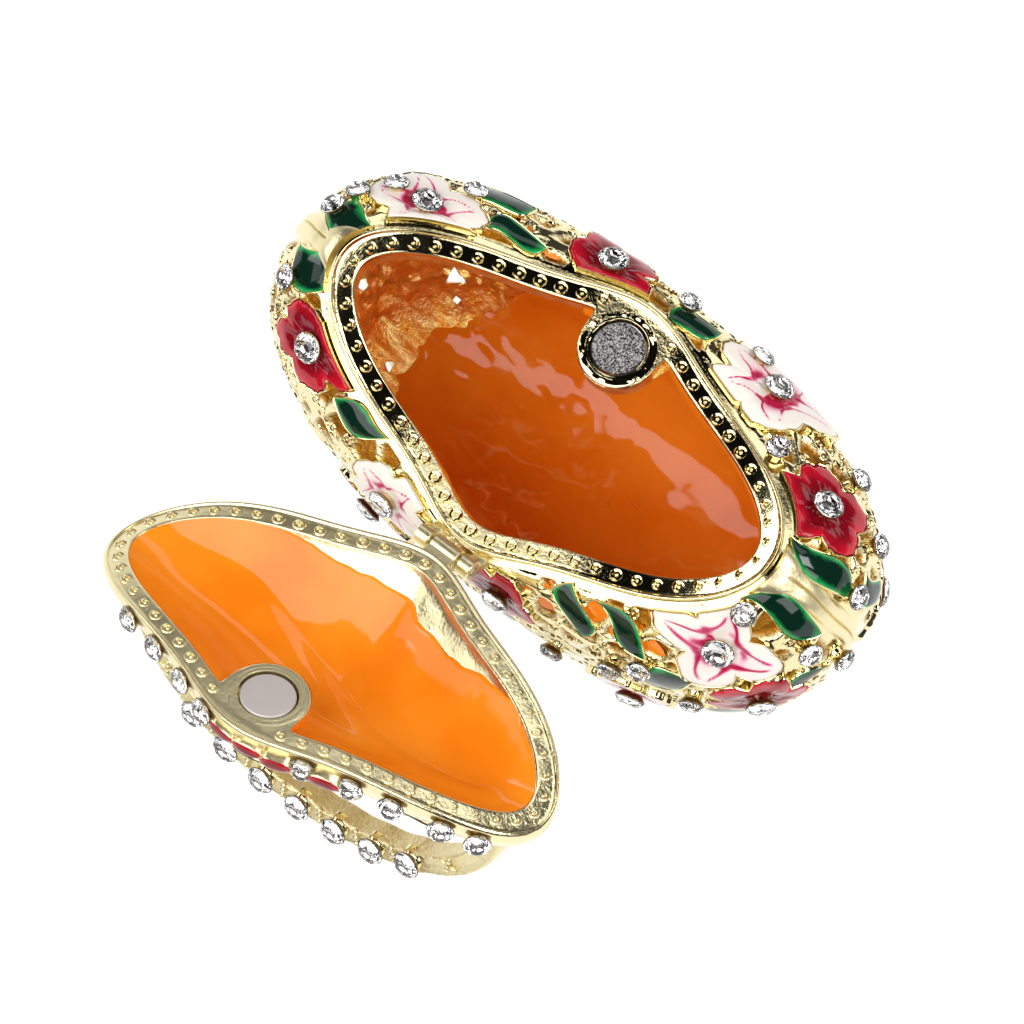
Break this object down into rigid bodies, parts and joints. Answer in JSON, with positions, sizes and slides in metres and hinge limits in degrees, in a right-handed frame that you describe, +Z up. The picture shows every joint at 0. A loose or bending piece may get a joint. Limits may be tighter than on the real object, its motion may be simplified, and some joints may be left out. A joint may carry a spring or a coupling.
{
  "type": "trinket box",
  "caption": "Small hinged metal trinket box shaped like a handbag, with an arched handle, raised enamelled flowers and leaves, set stones, and a magnetic catch.",
  "frame": {"origin": "middle of the flat underside of the body", "axes": "+X along the box, +Y to its front where the magnet is, +Z up"},
  "size_m": [0.0727, 0.0662, 0.052],
  "materials": {
    "champagne_gold_plate": "bright pale gold plate over a zinc alloy casting",
    "sintered_magnet": "dark grey, speckled sintered face",
    "catch_steel": "satin grey steel disc",
    "clear_rhinestone": "clear faceted glass over a silvery foil",
    "red_enamel": "glossy translucent red enamel",
    "green_enamel": "glossy translucent green enamel",
    "white_enamel": "glossy white enamel with magenta streaks",
    "orange_enamel": "glossy orange enamel lining"
  },
  "bodies": {
    "box": {"body_casting": "champagne_gold_plate", "hinge_pin": "champagne_gold_plate", "body_magnet": "sintered_magnet", "body_flower_stone_01": "clear_rhinestone", "body_flower_stone_02": "clear_rhinestone", "body_flower_stone_03": "clear_rhinestone", "body_flower_stone_04": "clear_rhinestone", "body_flower_stone_05": "clear_rhinestone", "body_flower_stone_06": "clear_rhinestone", "body_flower_stone_07": "clear_rhinestone", "body_flower_stone_08": "clear_rhinestone", "body_flower_stone_09": "clear_rhinestone", "body_flower_stone_10": "clear_rhinestone", "body_flower_stone_11": "clear_rhinestone", "body_flower_stone_12": "clear_rhinestone", "body_flower_stone_13": "clear_rhinestone", "body_flower_stone_14": "clear_rhinestone", "body_flower_stone_15": "clear_rhinestone", "body_flower_stone_16": "clear_rhinestone", "body_accent_stone_01": "clear_rhinestone", "body_accent_stone_02": "clear_rhinestone", "body_accent_stone_03": "clear_rhinestone", "body_accent_stone_04": "clear_rhinestone", "body_accent_stone_05": "clear_rhinestone", "body_accent_stone_06": "clear_rhinestone", "body_accent_stone_07": "clear_rhinestone", "body_accent_stone_08": "clear_rhinestone", "body_accent_stone_09": "clear_rhinestone", "body_accent_stone_10": "clear_rhinestone", "body_accent_stone_11": "clear_rhinestone", "body_accent_stone_12": "clear_rhinestone", "body_accent_stone_13": "clear_rhinestone", "body_accent_stone_14": "clear_rhinestone", "body_accent_stone_15": "clear_rhinestone", "body_accent_stone_16": "clear_rhinestone", "body_accent_stone_17": "clear_rhinestone", "body_accent_stone_18": "clear_rhinestone"},
    "lid": {"lid_casting": "champagne_gold_plate", "lid_catch_disc": "catch_steel", "lid_edge_stone_01": "clear_rhinestone", "lid_edge_stone_02": "clear_rhinestone", "lid_edge_stone_03": "clear_rhinestone", "lid_edge_stone_04": "clear_rhinestone", "lid_edge_stone_05": "clear_rhinestone", "lid_edge_stone_06": "clear_rhinestone", "lid_edge_stone_07": "clear_rhinestone", "lid_edge_stone_08": "clear_rhinestone", "lid_edge_stone_09": "clear_rhinestone", "handle_stone_01": "clear_rhinestone", "handle_stone_02": "clear_rhinestone", "handle_stone_03": "clear_rhinestone", "handle_stone_04": "clear_rhinestone", "handle_stone_05": "clear_rhinestone", "handle_stone_06": "clear_rhinestone", "handle_stone_07": "clear_rhinestone"}
  },
  "joints": [
    {"name": "lid_hinge", "type": "hinge", "parent": "box", "child": "lid", "pos_m": [0, -0.0186, 0.0355], "axis": [0.9976, 0, 0.0698], "range_deg": [-151.7, 0]}
  ]
}
